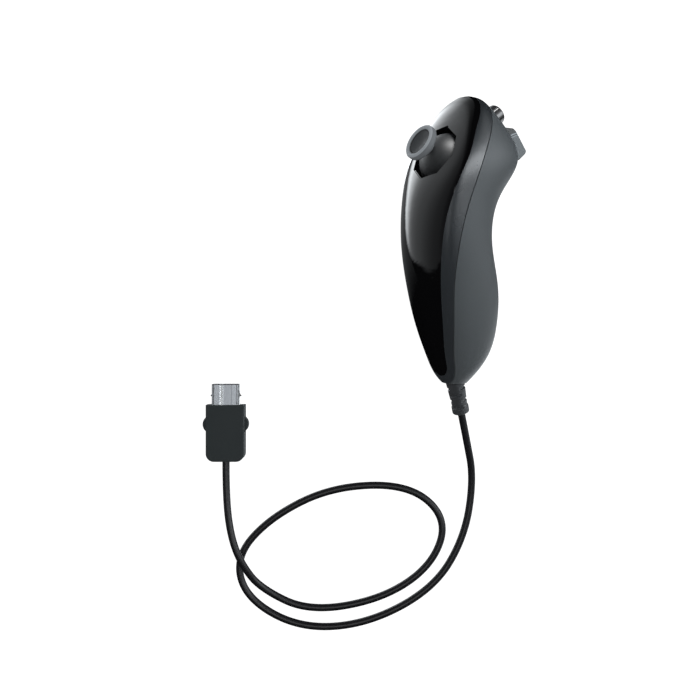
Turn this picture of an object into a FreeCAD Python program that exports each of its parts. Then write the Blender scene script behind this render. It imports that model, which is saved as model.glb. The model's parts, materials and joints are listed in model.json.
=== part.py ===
"""One-handed motion game controller with thumb stick, two nose buttons, a cord and a plug.

The controller is drawn in its own axes: +x to its right, +y to its nose, +z out of the face
with the thumb stick. resting_frame() then turns it as it lies on the table, on its left flank.
The cord and the plug are drawn on the table itself, whose top is z = 0; the origin lies on the
table, under the middle of the resting controller. All sizes are in mm.
"""
import FreeCAD, Part
import math
import os

V = FreeCAD.Vector
os.makedirs("parts", exist_ok=True)

# Housing shape: one value for each cross section, from the tail to the nose
LENGTH = 113.0
WIDTH = 38.6
HALF_WIDTH = [WIDTH * share for share in
              (0.124, 0.197, 0.295, 0.363, 0.415, 0.456, 0.490, 0.500, 0.389, 0.238, 0.083)]
CROWN = [3.6, 5.4, 9.5, 14.5, 18.5, 20.3, 18.0, 11.2, 4.8, -0.8, -3.2]
BELLY = [-5.8, -7.2, -13.9, -17.8, -17.2, -12.4, -15.6, -27.2, -20.5, -11.2, -6.4]
WIDEST = [0.50, 0.50, 0.50, 0.50, 0.50, 0.50, 0.51, 0.61, 0.68, 0.62, 0.60]
BELLY_POWER = [2.3, 2.35, 2.35, 2.35, 2.35, 2.35, 2.3, 2.05, 1.95, 2.0, 2.05]
CROWN_POWER = [2.35, 2.35, 2.35, 2.35, 2.35, 2.35, 2.7, 3.6, 3.3, 2.6, 2.35]
TAIL_END = 0.2
NOSE_END = 0.3
SECTION_POINTS = 12
WALL = 1.6
INNER_GAP = 0.3

# Side view lines (share of the half length, z): cover edge and parting line of the rear shell
COVER_EDGE = [(-1.10, 6.0), (-0.933, 5.9), (-0.809, 8.4), (-0.584, 12.2), (-0.310, 15.2),
              (-0.071, 16.4), (0.156, 15.6), (0.310, 13.6), (0.455, 10.7), (0.588, 7.1),
              (0.743, 2.9), (0.867, -1.4), (0.956, -4.0), (1.10, -7.5)]
PARTING = [(-1.10, 2.0), (-0.913, 4.6), (-0.809, 6.5), (-0.584, 9.2), (-0.310, 11.2),
           (-0.071, 11.2), (0.156, 9.3), (0.310, 6.9), (0.496, 3.2), (0.619, 0.1),
           (0.743, -3.9), (0.858, -7.3), (0.956, -9.2), (1.10, -11.0)]
GROOVE_WIDTH = 0.4
GROOVE_DEPTH = 0.5

# How the controller lies on the table
ROLL = 56.0
PITCH = 6.0
PLACE_X = -4.4
PLACE_Y = LENGTH / 2 - 50.1

# Thumb stick, measured from its pivot along its own axis
MOUTH_Y = 0.301 * LENGTH
MOUTH_Z = 10.1
MOUTH_TURN = -10.0
STICK_LEAN = 27.0
MOUTH_HEIGHT = 7.5
MOUTH_RADIUS = 11.2
MOUTH_STEP = 0.4
DOME_RADIUS = 11.2
DOME_WALL = 1.4
DOME_EDGE_ANGLE = 64.0
CAP_RADIUS = 7.15
CAP_BASE = 13.5
CAP_THICKNESS = 3.2
CAP_ROUND = 0.7
DISH_RADIUS = 4.85
DISH_DEPTH = 0.8
NECK_RADIUS = 3.0
SHAFT_RADIUS = 2.2
HUB_RADIUS = 4.4
FOOT_RADIUS = 7.0
FOOT_ANGLE = 27.0
RING_OUTER = 7.2
RING_INNER = 5.2
RING_HALF = 1.5
TRUNNION_RADIUS = 1.0
TRUNNION_REACH = 8.9
RUNNING_GAP = 0.06
FRAME_INNER = 7.8
FRAME_WALL = 1.2
FRAME_TOP = 0.2
FRAME_FLOOR = -12.0
EAR_HALF = 2.2
EAR_TOP = 1.8
SENSOR_THICKNESS = 3.4
SENSOR_HALF = 5.0
SENSOR_DEPTH = 10.0
STICK_SCREW_X = 7.6
STICK_SCREW_E = -11.6
STICK_FLANGE = 1.4
STICK_SCREW = 5.2
STICK_FLANGE_TOP = -1.2
BOSS_RADIUS = 2.0

# Round nose button
BUTTON_Y = 0.431 * LENGTH
BUTTON_Z = -18.1
BUTTON_SLANT = 56.0
BUTTON_RADIUS = 4.1
BUTTON_PROUD = 4.8
BUTTON_ROUND = 1.2
BUTTON_CROWN = 0.3
BUTTON_GAP = 0.3
BUTTON_GUIDE = 1.0
BUTTON_GUIDE_DEPTH = 4.2
BUTTON_FLANGE_RADIUS = 5.0
BUTTON_FLANGE = 1.0
PAD_DEPTH = 6.6
PAD_THICKNESS = 0.9
BUTTON_BOARD = 1.0
BRACKET = 1.6
SWITCH_HALF_WIDTH = 7.0
SWITCH_UP = 4.5
SWITCH_DOWN = 8.3

# Trigger and its hinge: side view as steps from the hinge towards the nose, and heights
HINGE_Y = 0.309 * LENGTH
HINGE_Z = -21.0
TRIGGER_SIDE = [(10.1, -17.0), (10.0, -24.1), (9.0, -25.6), (1.5, -31.4), (0.3, -30.9),
                (-2.4, -27.5), (-1.9, -21.0), (0.1, -19.2)]
TRIGGER_HALF = 7.5
TRIGGER_ROUND = 0.8
TRIGGER_GAP = 0.4
TRIGGER_SCALLOP_GAP = 1.1
TRIGGER_SLOT_NOSE = 10.8
TRIGGER_SLOT_TAIL = -2.9
PIN_RADIUS = 0.75
PIN_HALF = 9.6
LUG_INNER = 8.2
LUG_OUTER = 9.8

# Electronics and screws
BOARD_Z = 0.0
BOARD_THICKNESS = 1.2
BOARD_HALF_WIDTH = 0.272 * WIDTH
BOARD_TAIL = -0.292 * LENGTH
BOARD_NOSE = MOUTH_Y - 20.2
CASE_SCREW_Y = [-0.205 * LENGTH, 0.053 * LENGTH]
CASE_BOSS_RADIUS = 3.6
WELL_RADIUS = 2.7
BOARD_GAP = 0.3
CASE_BOSS_MEET = 3.0
SCREW_RADIUS = 1.0
SCREW_HEAD_RADIUS = 2.0
SCREW_HEAD = 1.5
SCREW_GAP = 0.06
HEAD_SEAT = -4.0
BOARD_SCREW_X = 0.19 * WIDTH
BOARD_SCREW_Y = -0.07 * LENGTH
SMALL_PARTS_Y = -0.142 * LENGTH
POST_RADIUS = 2.2
CHIP = (7.0, 7.0, 1.3)
SENSOR_CHIP = (5.0, 5.0, 1.5)
CONNECTOR = (9.0, 4.0, 4.2)

# Strain relief
BOOT_BASE = (0.7 - LENGTH / 2, -1.4)
BOOT_TIP = (-12.6 - LENGTH / 2, -4.9)
BOOT_RADIUS = 3.8
BOOT_NECK_RADIUS = 3.15
BOOT_COLLAR_RADIUS = 3.45
BOOT_COLLAR = 3.8
BOOT_ROUND = 1.0
BOOT_CORE = 2.5
BOOT_SLOT = 1.2
BOOT_SLOT_STEP = 2.6
BOOT_WEB = 2.2
BOOT_TURN = 32.0
BOOT_GAP = 0.1
BOOT_FLANGE_RADIUS = 4.9
BOOT_FLANGE = 1.2
BOOT_FLANGE_DEPTH = 1.6

# Plug, measured from the middle of its shoulder, where the metal shell leaves it
PLUG_AT = (-96.5, -58.9)
PLUG_LENGTH = 23.2
PLUG_HALF = 7.8
PLUG_HEIGHT = 9.4
PLUG_CORNER = 3.3
PLUG_EDGE = 0.8
PLUG_CAVITY_HALF = 6.3
PLUG_CAVITY_FRONT = -2.2
PLUG_CAVITY_BACK = -20.1
PLUG_CAVITY_LOW = 1.7
PLUG_CAVITY_HIGH = PLUG_HEIGHT - 1.7
PLUG_MIDDLE = PLUG_HEIGHT / 2
SHELL_HALF = 5.6
SHELL_LENGTH = 8.45
SHELL_SUNK = 3.1
SHELL_HEIGHT = PLUG_HEIGHT - 3.2
SHELL_WALL = 0.5
SHELL_CORNER = 1.1
SEAM_X = 2.4
SEAM_WIDTH = 0.3
BEAD_X = -1.6
BEAD_RADIUS = 1.6
BEAD_DEPTH = 0.12
INSERT_HALF = 3.1
TONGUE_THICKNESS = 2.0
TONGUE_RECESS = 4.3
INSERT_BACK = -5.2
CONTACTS_PER_SIDE = 3
CONTACT_PITCH = 1.9
CONTACT_WIDTH = 1.0
CONTACT_THICKNESS = 0.15
LATCH_FROM = -5.0
LATCH_TO = -11.0
LATCH_HEIGHT = 4.6
LATCH_PROUD = 1.5
LATCH_GAP = 0.35
LATCH_ARM_INNER = 4.2
LATCH_ARM = 0.8
LATCH_ARM_HEIGHT = 2.0
LATCH_PIVOT_X = 4.3
LATCH_PIVOT_Y = -16.1
LATCH_BARREL = 1.7
LATCH_PIN = 0.9
HOOK_FRONT = 5.2
HOOK_BACK = 3.5
HOOK_PROUD = 0.8

# Cord: diameter and the corners of its route on the table
CORD_DIAMETER = 3.0
CORD_FIRST_RUN = 11.0
CORD_ROUTE = [(5.7, -89.5, 2.2), (2.1, -114.0, 1.55), (-10.7, -135.3, 1.55), (-38.2, -150.1, 1.55),
              (-66.3, -152.0, 1.55), (-88.7, -139.4, 1.55), (-92.9, -122.1, 1.55),
              (-78.5, -105.9, 1.55), (-53.0, -93.1, 1.55), (-21.0, -92.1, 1.55),
              (-4.9, -106.5, 1.55), (-11.5, -126.0, 1.55), (-32.5, -139.9, 1.55),
              (-62.5, -145.0, 1.55), (-82.5, -134.9, 3.2), (-89.9, -123.7, 8.0),
              (-94.1, -112.7, 8.0), (-96.5, -97.5, PLUG_MIDDLE)]
ARC_SHARE = 0.45

# Frames of the stick and of the round button
LEAN = math.radians(STICK_LEAN)
STICK_AXIS = V(0, math.sin(LEAN), math.cos(LEAN))
PIVOT = V(0, MOUTH_Y, MOUTH_Z) - STICK_AXIS * MOUTH_HEIGHT
STICK_FRAME = FreeCAD.Placement(PIVOT, FreeCAD.Rotation(V(1, 0, 0), -STICK_LEAN))
BUTTON_FRAME = FreeCAD.Placement(V(0, BUTTON_Y, BUTTON_Z),
                                 FreeCAD.Rotation(V(1, 0, 0), -90 - BUTTON_SLANT))
PLUG_FRAME = FreeCAD.Placement(V(PLUG_AT[0], PLUG_AT[1], 0), FreeCAD.Rotation())
STATIONS = len(HALF_WIDTH) - 1


def box(x0, x1, y0, y1, z0, z1):
    """Box between two corners."""
    return Part.makeBox(x1 - x0, y1 - y0, z1 - z0, V(x0, y0, z0))


def rod(radius, start, end):
    """Cylinder between two points."""
    return Part.makeCylinder(radius, (end - start).Length, start, end - start)


def turned(outline):
    """Solid of revolution from (r, z) corners: an entry of four values is an arc by middle and end."""
    start = V(outline[0][0], 0, outline[0][1])
    edges = []
    for corner in outline[1:] + outline[:1]:
        end = V(corner[-2], 0, corner[-1])
        if len(corner) == 4:
            edges.append(Part.Arc(start, V(corner[0], 0, corner[1]), end).toShape())
        else:
            edges.append(Part.makeLine(start, end))
        start = end
    return Part.Face(Part.Wire(edges)).revolve(V(0, 0, 0), V(0, 0, 1), 360)


def shallow_arc(radius, edge, top):
    """Outline arc of a shallow dome or dish from its edge to its middle on the axis."""
    bow = (radius ** 2 + (top - edge) ** 2) / (2 * (top - edge))
    turn = math.asin(radius / bow) / 2
    return bow * math.sin(turn), top - bow + bow * math.cos(turn), 0, top


def framed(shape, frame):
    """Shape moved from its own frame into the controller's axes."""
    moved = shape.copy()
    moved.Placement = frame.multiply(shape.Placement)
    return moved


def signed_power(value, power):
    """Power of a value that keeps its sign."""
    return math.copysign(abs(value) ** power, value)


def station(values, position):
    """Value of a table at a whole or part station."""
    low = min(int(position), STATIONS - 1)
    share = position - low
    return values[low] * (1 - share) + values[low + 1] * share


def station_y(position):
    """Place of a station along the body: closer together towards both ends."""
    y = -LENGTH / 2 * math.cos(math.pi * position / STATIONS)
    return max(-LENGTH / 2 + TAIL_END, min(LENGTH / 2 - NOSE_END, y))


def section(position, inset):
    """Closed outline of the body at a station, drawn in from the outside by an inset."""
    half = station(HALF_WIDTH, position) - inset
    crown = station(CROWN, position) - inset
    belly = station(BELLY, position) + inset
    level = belly + station(WIDEST, position) * (crown - belly)
    low_power = station(BELLY_POWER, position)
    high_power = station(CROWN_POWER, position)
    y = station_y(position)
    points = []
    for k in range(SECTION_POINTS):
        turn = 2 * math.pi * k / SECTION_POINTS - math.pi / 2
        upper = math.sin(turn) > 0
        power = high_power if upper else low_power
        rise = (crown - level) if upper else (level - belly)
        x = half * signed_power(math.cos(turn), 2 / power)
        z = level + rise * signed_power(math.sin(turn), 2 / power)
        points.append(V(x, y, z))
    outline = Part.BSplineCurve()
    steps = [k / SECTION_POINTS for k in range(SECTION_POINTS + 1)]
    outline.interpolate(Points=points, Parameters=steps, PeriodicFlag=True)
    return Part.Wire([outline.toShape()])


def outer_body(inset=0.0):
    """Smooth solid through the body's sections, from end to end."""
    return Part.makeLoft([section(p, inset) for p in range(STATIONS + 1)], True, False)


def inner_body(inset):
    """Hollow of the body with plainly ruled walls, closed before both ends."""
    positions = [0.8, 1.4] + list(range(2, STATIONS - 1)) + [8.6, 9.2]
    return Part.makeLoft([section(p, inset) for p in positions], True, True)


def side_curve(line, shift):
    """Side view line as a curve on the left of the body."""
    curve = Part.BSplineCurve()
    curve.interpolate([V(-30, share * LENGTH / 2, z + shift) for share, z in line])
    return curve.toShape()


def side_band_block(lower, upper):
    """Block between two side view curves."""
    a, b = lower.firstVertex().Point, lower.lastVertex().Point
    c, d = upper.firstVertex().Point, upper.lastVertex().Point
    wire = Part.Wire([lower, Part.makeLine(b, d), upper, Part.makeLine(c, a)])
    return Part.Face(wire).extrude(V(60, 0, 0))


def above(line, shift=0.0):
    """Block of everything above a side view line."""
    high = [(line[0][0], 60), (line[-1][0], 60)]
    return side_band_block(side_curve(line, shift), side_curve(high, 0))


def below(line, shift=0.0):
    """Block of everything below a side view line."""
    low = [(line[0][0], -60), (line[-1][0], -60)]
    return side_band_block(side_curve(low, 0), side_curve(line, shift))


def casing():
    """Hollow housing before it is parted."""
    return outer_body().cut(inner_body(WALL))


def parting_groove():
    """Narrow groove sunk along the parting line."""
    strip = side_band_block(side_curve(PARTING, -GROOVE_WIDTH / 2),
                            side_curve(PARTING, GROOVE_WIDTH / 2))
    return outer_body(-1.0).common(strip).cut(outer_body(GROOVE_DEPTH))


def cable_hole():
    """Hole in the tail for the strain relief."""
    tip, base, axis = boot_axis()
    return rod(BOOT_RADIUS + BOOT_GAP, base - axis * 6, base + axis * 6)


def make_side_band(hollow, groove):
    """Satin band between the cover and the rear shell."""
    strip = side_band_block(side_curve(PARTING, 0), side_curve(COVER_EDGE, 0))
    return hollow.common(strip).cut(groove).cut(cable_hole())


def mouth_cutter():
    """Octagonal opening of the stick with a shallow step round its edge."""
    def prism(radius):
        turns = [math.radians(45 * k + MOUTH_TURN) for k in range(9)]
        octagon = Part.makePolygon([V(radius * math.cos(a), radius * math.sin(a), 0) for a in turns])
        return framed(Part.Face(octagon).extrude(V(0, 0, 30)), STICK_FRAME)
    return prism(MOUTH_RADIUS).fuse(prism(MOUTH_RADIUS + MOUTH_STEP).cut(outer_body(MOUTH_STEP)))


def stick_post(side, radius, height):
    """Round post above one screw tab of the stick housing."""
    foot = V(side * STICK_SCREW_X, STICK_SCREW_E, STICK_FLANGE_TOP)
    return framed(Part.makeCylinder(radius, height, foot), STICK_FRAME)


def make_front_cover(hollow, band, core):
    """Gloss cover with the octagonal opening and its screw bosses."""
    cover = hollow.common(above(COVER_EDGE))
    for y in CASE_SCREW_Y:
        boss = Part.makeCylinder(CASE_BOSS_RADIUS, 40, V(0, y, CASE_BOSS_MEET)).common(core)
        cover = cover.fuse(boss)
        cover = cover.cut(Part.makeCylinder(SCREW_RADIUS + SCREW_GAP, 7, V(0, y, CASE_BOSS_MEET)))
    for side in (-1, 1):
        cover = cover.fuse(stick_post(side, BOSS_RADIUS, 30).common(core))
        cover = cover.cut(stick_post(side, SCREW_RADIUS + SCREW_GAP, STICK_SCREW - STICK_FLANGE + 0.4))
    return cover.cut(band).cut(mouth_cutter())


def trigger_slot():
    """Opening of the trigger in the rear shell."""
    half = TRIGGER_HALF + TRIGGER_GAP
    return box(-half, half, HINGE_Y + TRIGGER_SLOT_TAIL, HINGE_Y + TRIGGER_SLOT_NOSE, -50, -12)


def make_rear_shell(hollow, groove, core):
    """Matte rear shell with screw wells, board posts, hinge lugs and button guide."""
    shell = hollow.common(below(PARTING)).cut(groove)
    for y in CASE_SCREW_Y:
        boss = Part.makeCylinder(CASE_BOSS_RADIUS, 60, V(0, y, CASE_BOSS_MEET - 60)).common(core)
        well = Part.makeCylinder(WELL_RADIUS, 60, V(0, y, HEAD_SEAT - 60))
        bore = Part.makeCylinder(SCREW_RADIUS + BOARD_GAP, 60, V(0, y, CASE_BOSS_MEET - 59))
        shell = shell.fuse(boss).cut(well).cut(bore)
    for side in (-1, 1):
        at = V(side * BOARD_SCREW_X, BOARD_SCREW_Y, BOARD_Z - 40)
        post = Part.makeCylinder(POST_RADIUS, 40, at).common(core)
        pilot = Part.makeCylinder(SCREW_RADIUS + SCREW_GAP, 5, V(at.x, at.y, BOARD_Z - 5))
        shell = shell.fuse(post).cut(pilot)
        low, high = sorted((side * LUG_INNER, side * LUG_OUTER))
        lug = box(low, high, HINGE_Y - 2.4, HINGE_Y + 2.4, HINGE_Z - 20, HINGE_Z + 2.4)
        shell = shell.fuse(lug.common(core))
    guide = Part.makeCylinder(BUTTON_RADIUS + BUTTON_GAP + BUTTON_GUIDE, BUTTON_GUIDE_DEPTH + 3,
                              V(0, 0, -BUTTON_GUIDE_DEPTH))
    hole = Part.makeCylinder(BUTTON_RADIUS + BUTTON_GAP, 20, V(0, 0, -BUTTON_GUIDE_DEPTH - 1))
    shell = shell.cut(trigger_slot())
    shell = shell.fuse(framed(guide, BUTTON_FRAME).common(core)).cut(framed(hole, BUTTON_FRAME))
    pin_hole = rod(PIN_RADIUS + 0.02, V(-PIN_HALF, HINGE_Y, HINGE_Z), V(PIN_HALF, HINGE_Y, HINGE_Z))
    return shell.cut(pin_hole).cut(cable_hole())


def make_main_board():
    """Main circuit board with clearance for bosses."""
    board = box(-BOARD_HALF_WIDTH, BOARD_HALF_WIDTH, BOARD_TAIL, BOARD_NOSE,
                BOARD_Z, BOARD_Z + BOARD_THICKNESS)
    corners = [e for e in board.Edges if abs(e.Length - BOARD_THICKNESS) < 1e-6]
    board = board.makeFillet(2.0, corners)
    for y in CASE_SCREW_Y:
        board = board.cut(Part.makeCylinder(CASE_BOSS_RADIUS + BOARD_GAP, 4, V(0, y, BOARD_Z - 1)))
    for side in (-1, 1):
        at = V(side * BOARD_SCREW_X, BOARD_SCREW_Y, BOARD_Z - 1)
        board = board.cut(Part.makeCylinder(SCREW_RADIUS + SCREW_GAP, 4, at))
    return board


def chip(size, x, y):
    """Flat chip standing on the main board."""
    top = BOARD_Z + BOARD_THICKNESS
    return box(x - size[0] / 2, x + size[0] / 2, y - size[1] / 2, y + size[1] / 2, top, top + size[2])


def make_small_parts():
    """Small capacitors in one row on the main board."""
    return Part.makeCompound([chip((1.6, 3.2, 1.4), x, SMALL_PARTS_Y) for x in (-6.4, -3.2, 0.0, 3.2, 6.4)])


def make_connector():
    """Cable connector at the tail of the main board."""
    body_box = chip(CONNECTOR, 0, BOARD_TAIL + CONNECTOR[1] / 2)
    top = BOARD_Z + BOARD_THICKNESS
    pocket = box(-CONNECTOR[0] / 2 + 0.7, CONNECTOR[0] / 2 - 0.7, BOARD_TAIL - 1, BOARD_TAIL + 2.6,
                 top + 0.7, top + CONNECTOR[2] - 0.7)
    return body_box.cut(pocket)


def make_wires():
    """Four wires from the connector to the strain relief."""
    tip, base, axis = boot_axis()
    end = base - axis * (BOOT_FLANGE_DEPTH + BOOT_FLANGE + 0.1)
    start_z = BOARD_Z + BOARD_THICKNESS + CONNECTOR[2] / 2
    wires = []
    for k in range(4):
        x = 1.4 * (k - 1.5)
        wires.append(rod(0.45, V(x, BOARD_TAIL + 2.4, start_z), V(x, end.y, end.z)))
    return Part.makeCompound(wires)


def pan_screw(x, y, seat, length, up):
    """Screw with a flat head: its shank runs up or down from the seat."""
    way = 1 if up else -1
    shank = rod(SCREW_RADIUS, V(x, y, seat), V(x, y, seat + way * length))
    head = rod(SCREW_HEAD_RADIUS, V(x, y, seat - way * SCREW_HEAD), V(x, y, seat))
    return shank.fuse(head)


def make_case_screws():
    """Two long screws that join the rear shell and the cover."""
    reach = CASE_BOSS_MEET - HEAD_SEAT + 6
    return Part.makeCompound([pan_screw(0, y, HEAD_SEAT, reach, True) for y in CASE_SCREW_Y])


def make_board_screws():
    """Two screws that hold the main board on its posts."""
    seat = BOARD_Z + BOARD_THICKNESS
    return Part.makeCompound([pan_screw(side * BOARD_SCREW_X, BOARD_SCREW_Y, seat, 5, False)
                              for side in (-1, 1)])


def make_stick_frame():
    """Open housing of the stick with ears for the gimbal and two screw tabs."""
    half = FRAME_INNER + FRAME_WALL
    frame = box(-half, half, -half, half, FRAME_FLOOR, FRAME_TOP)
    for side in (-1, 1):
        low, high = sorted((side * FRAME_INNER, side * half))
        frame = frame.fuse(box(low, high, -EAR_HALF, EAR_HALF, -EAR_TOP, EAR_TOP))
        middle = side * STICK_SCREW_X
        tab = box(middle - BOSS_RADIUS, middle + BOSS_RADIUS, STICK_SCREW_E - BOSS_RADIUS, 0.5 - half,
                  STICK_FLANGE_TOP - STICK_FLANGE, STICK_FLANGE_TOP)
        hole = Part.makeCylinder(SCREW_RADIUS + SCREW_GAP, 6,
                                 V(side * STICK_SCREW_X, STICK_SCREW_E, STICK_FLANGE_TOP - 3))
        frame = frame.fuse(tab).cut(hole)
    inside = box(-FRAME_INNER, FRAME_INNER, -FRAME_INNER, FRAME_INNER, FRAME_FLOOR + FRAME_WALL, 5)
    bearing = rod(TRUNNION_RADIUS + RUNNING_GAP, V(-half - 1, 0, 0), V(half + 1, 0, 0))
    return framed(frame.cut(inside).cut(bearing), STICK_FRAME)


def make_stick_screws():
    """Two screws that hold the stick housing on the cover's bosses."""
    seat = STICK_FLANGE_TOP - STICK_FLANGE
    screws = [pan_screw(side * STICK_SCREW_X, STICK_SCREW_E, seat, STICK_SCREW, True)
              for side in (-1, 1)]
    return framed(Part.makeCompound(screws), STICK_FRAME)


def make_sensor_x():
    """Angle sensor on the right side of the stick housing."""
    half = FRAME_INNER + FRAME_WALL
    plate = box(half, half + SENSOR_THICKNESS, -SENSOR_HALF, SENSOR_HALF, -SENSOR_DEPTH, 0)
    return framed(plate, STICK_FRAME)


def make_sensor_y():
    """Angle sensor on the tail side of the stick housing."""
    half = FRAME_INNER + FRAME_WALL
    plate = box(-SENSOR_HALF, SENSOR_HALF, -half - SENSOR_THICKNESS, -half, -SENSOR_DEPTH, 0)
    return framed(plate, STICK_FRAME)


def make_centring_spring():
    """Coil spring between the housing floor and the foot of the stick."""
    low = FRAME_FLOOR + FRAME_WALL + 0.5
    high = -FOOT_RADIUS - 0.75
    turns = 2.5
    helix = Part.makeHelix((high - low) / turns, high - low, 3.4)
    circle = Part.Wire([Part.makeCircle(0.4, V(3.4, 0, 0), V(0, 1, 0))])
    coil = Part.Wire(helix).makePipeShell([circle], True, True)
    coil.translate(V(0, 0, low))
    return framed(coil, STICK_FRAME)


def make_gimbal_ring():
    """Ring that turns in the housing and carries the cross pin of the stick."""
    ring = Part.makeCylinder(RING_OUTER, 2 * RING_HALF, V(0, 0, -RING_HALF))
    ring = ring.cut(Part.makeCylinder(RING_INNER, 4 * RING_HALF, V(0, 0, -2 * RING_HALF)))
    middle = (RING_INNER + RING_OUTER) / 2
    for side in (-1, 1):
        ring = ring.fuse(rod(TRUNNION_RADIUS, V(side * middle, 0, 0), V(side * TRUNNION_REACH, 0, 0)))
    hole = rod(TRUNNION_RADIUS + RUNNING_GAP, V(0, -2 * RING_OUTER, 0), V(0, 2 * RING_OUTER, 0))
    return framed(ring.cut(hole), STICK_FRAME)


def make_stick_shaft():
    """Stick with its hub, cross pin and rounded foot."""
    half, edge = math.radians(FOOT_ANGLE / 2), math.radians(FOOT_ANGLE)
    foot = turned([(0, -FOOT_RADIUS),
                   (FOOT_RADIUS * math.sin(half), -FOOT_RADIUS * math.cos(half),
                    FOOT_RADIUS * math.sin(edge), -FOOT_RADIUS * math.cos(edge)),
                   (SHAFT_RADIUS, -FOOT_RADIUS + 2.0), (0, -FOOT_RADIUS + 2.0)])
    shaft = foot.fuse(rod(SHAFT_RADIUS, V(0, 0, -FOOT_RADIUS + 1), V(0, 0, CAP_BASE + 0.9)))
    shaft = shaft.fuse(Part.makeSphere(HUB_RADIUS))
    pin = rod(TRUNNION_RADIUS, V(0, -RING_OUTER + 0.2, 0), V(0, RING_OUTER - 0.2, 0))
    return framed(shaft.fuse(pin), STICK_FRAME)


def make_stick_dome():
    """Ball shaped skirt that closes the octagonal opening under the cap."""
    outer = Part.makeSphere(DOME_RADIUS)
    inner = Part.makeSphere(DOME_RADIUS - DOME_WALL)
    edge = math.radians(DOME_EDGE_ANGLE)
    reach = 2 * DOME_RADIUS
    keep = turned([(0, 0), (reach * math.sin(edge), reach * math.cos(edge)), (0, reach)])
    hole = Part.makeCylinder(SHAFT_RADIUS + 0.02, reach)
    return framed(outer.cut(inner).common(keep).cut(hole), STICK_FRAME)


def make_thumb_cap():
    """Round thumb cap with a raised ring, a dished middle and a short neck."""
    top = CAP_BASE + CAP_THICKNESS
    neck_foot = math.sqrt(DOME_RADIUS ** 2 - SHAFT_RADIUS ** 2) + 0.02
    lip = top - 0.8
    bend = CAP_ROUND * (1 - math.sqrt(0.5))
    outline = [(0, neck_foot), (NECK_RADIUS, neck_foot), (NECK_RADIUS, CAP_BASE),
               (CAP_RADIUS - CAP_ROUND, CAP_BASE),
               (CAP_RADIUS - bend, CAP_BASE + bend, CAP_RADIUS, CAP_BASE + CAP_ROUND),
               (CAP_RADIUS, lip),
               ((CAP_RADIUS + DISH_RADIUS) / 2, top, DISH_RADIUS, lip),
               shallow_arc(DISH_RADIUS, lip, lip - DISH_DEPTH)]
    cap = turned(outline)
    bore = Part.makeCylinder(SHAFT_RADIUS + 0.02, CAP_BASE + 0.92)
    return framed(cap.cut(bore), STICK_FRAME)


def make_round_button():
    """Round nose button with a domed top and a flange inside the shell."""
    flange_top = -BUTTON_GUIDE_DEPTH - 0.2
    edge = BUTTON_PROUD - BUTTON_CROWN
    bend = BUTTON_ROUND * (1 - math.sqrt(0.5))
    outline = [(0, flange_top - BUTTON_FLANGE), (BUTTON_FLANGE_RADIUS, flange_top - BUTTON_FLANGE),
               (BUTTON_FLANGE_RADIUS, flange_top), (BUTTON_RADIUS, flange_top),
               (BUTTON_RADIUS, edge - BUTTON_ROUND),
               (BUTTON_RADIUS - bend, edge - bend, BUTTON_RADIUS - BUTTON_ROUND, edge),
               shallow_arc(BUTTON_RADIUS - BUTTON_ROUND, edge, BUTTON_PROUD)]
    return framed(turned(outline), BUTTON_FRAME)


def switch_plate(depth, thickness, half):
    """Flat plate behind both nose buttons."""
    return box(-half, half, -SWITCH_UP, SWITCH_DOWN, -depth - thickness, -depth)


def make_button_pad():
    """Rubber pad between the buttons and their board."""
    return framed(switch_plate(PAD_DEPTH, PAD_THICKNESS, SWITCH_HALF_WIDTH), BUTTON_FRAME)


def make_button_board():
    """Small circuit board under the rubber pad."""
    depth = PAD_DEPTH + PAD_THICKNESS
    return framed(switch_plate(depth, BUTTON_BOARD, SWITCH_HALF_WIDTH), BUTTON_FRAME)


def make_button_bracket(clear):
    """Bracket across the nose that backs the button board."""
    depth = PAD_DEPTH + PAD_THICKNESS + BUTTON_BOARD
    plate = framed(switch_plate(depth, BRACKET, 40), BUTTON_FRAME)
    return plate.common(clear)


def make_trigger():
    """Trigger with its rounded finger face and hinge bore."""
    corners = [V(-TRIGGER_HALF, HINGE_Y + step, z) for step, z in TRIGGER_SIDE]
    block = Part.Face(Part.makePolygon(corners + [corners[0]])).extrude(V(2 * TRIGGER_HALF, 0, 0))
    outside = [e for e in block.Edges if abs(e.Length - 2 * TRIGGER_HALF) < 1e-6
               and e.CenterOfMass.z < -23]
    block = block.makeFillet(TRIGGER_ROUND, outside)
    sides = [e for e in block.Edges if abs(abs(e.CenterOfMass.x) - TRIGGER_HALF) < 1e-6
             and e.CenterOfMass.z < -19.5]
    block = block.makeFillet(0.6, sides)
    bore = rod(PIN_RADIUS + RUNNING_GAP, V(-20, HINGE_Y, HINGE_Z), V(20, HINGE_Y, HINGE_Z))
    guide_radius = BUTTON_RADIUS + BUTTON_GAP + BUTTON_GUIDE
    scallop = Part.makeCylinder(guide_radius + TRIGGER_SCALLOP_GAP, 40, V(0, 0, -20))
    return block.cut(bore).cut(framed(scallop, BUTTON_FRAME))


def make_trigger_pin():
    """Steel pin of the trigger hinge."""
    return rod(PIN_RADIUS, V(-PIN_HALF, HINGE_Y, HINGE_Z), V(PIN_HALF, HINGE_Y, HINGE_Z))


def boot_axis():
    """Tip, base and outward direction of the strain relief."""
    base = V(0, BOOT_BASE[0], BOOT_BASE[1])
    tip = V(0, BOOT_TIP[0], BOOT_TIP[1])
    axis = tip - base
    axis.normalize()
    return tip, base, axis


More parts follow.
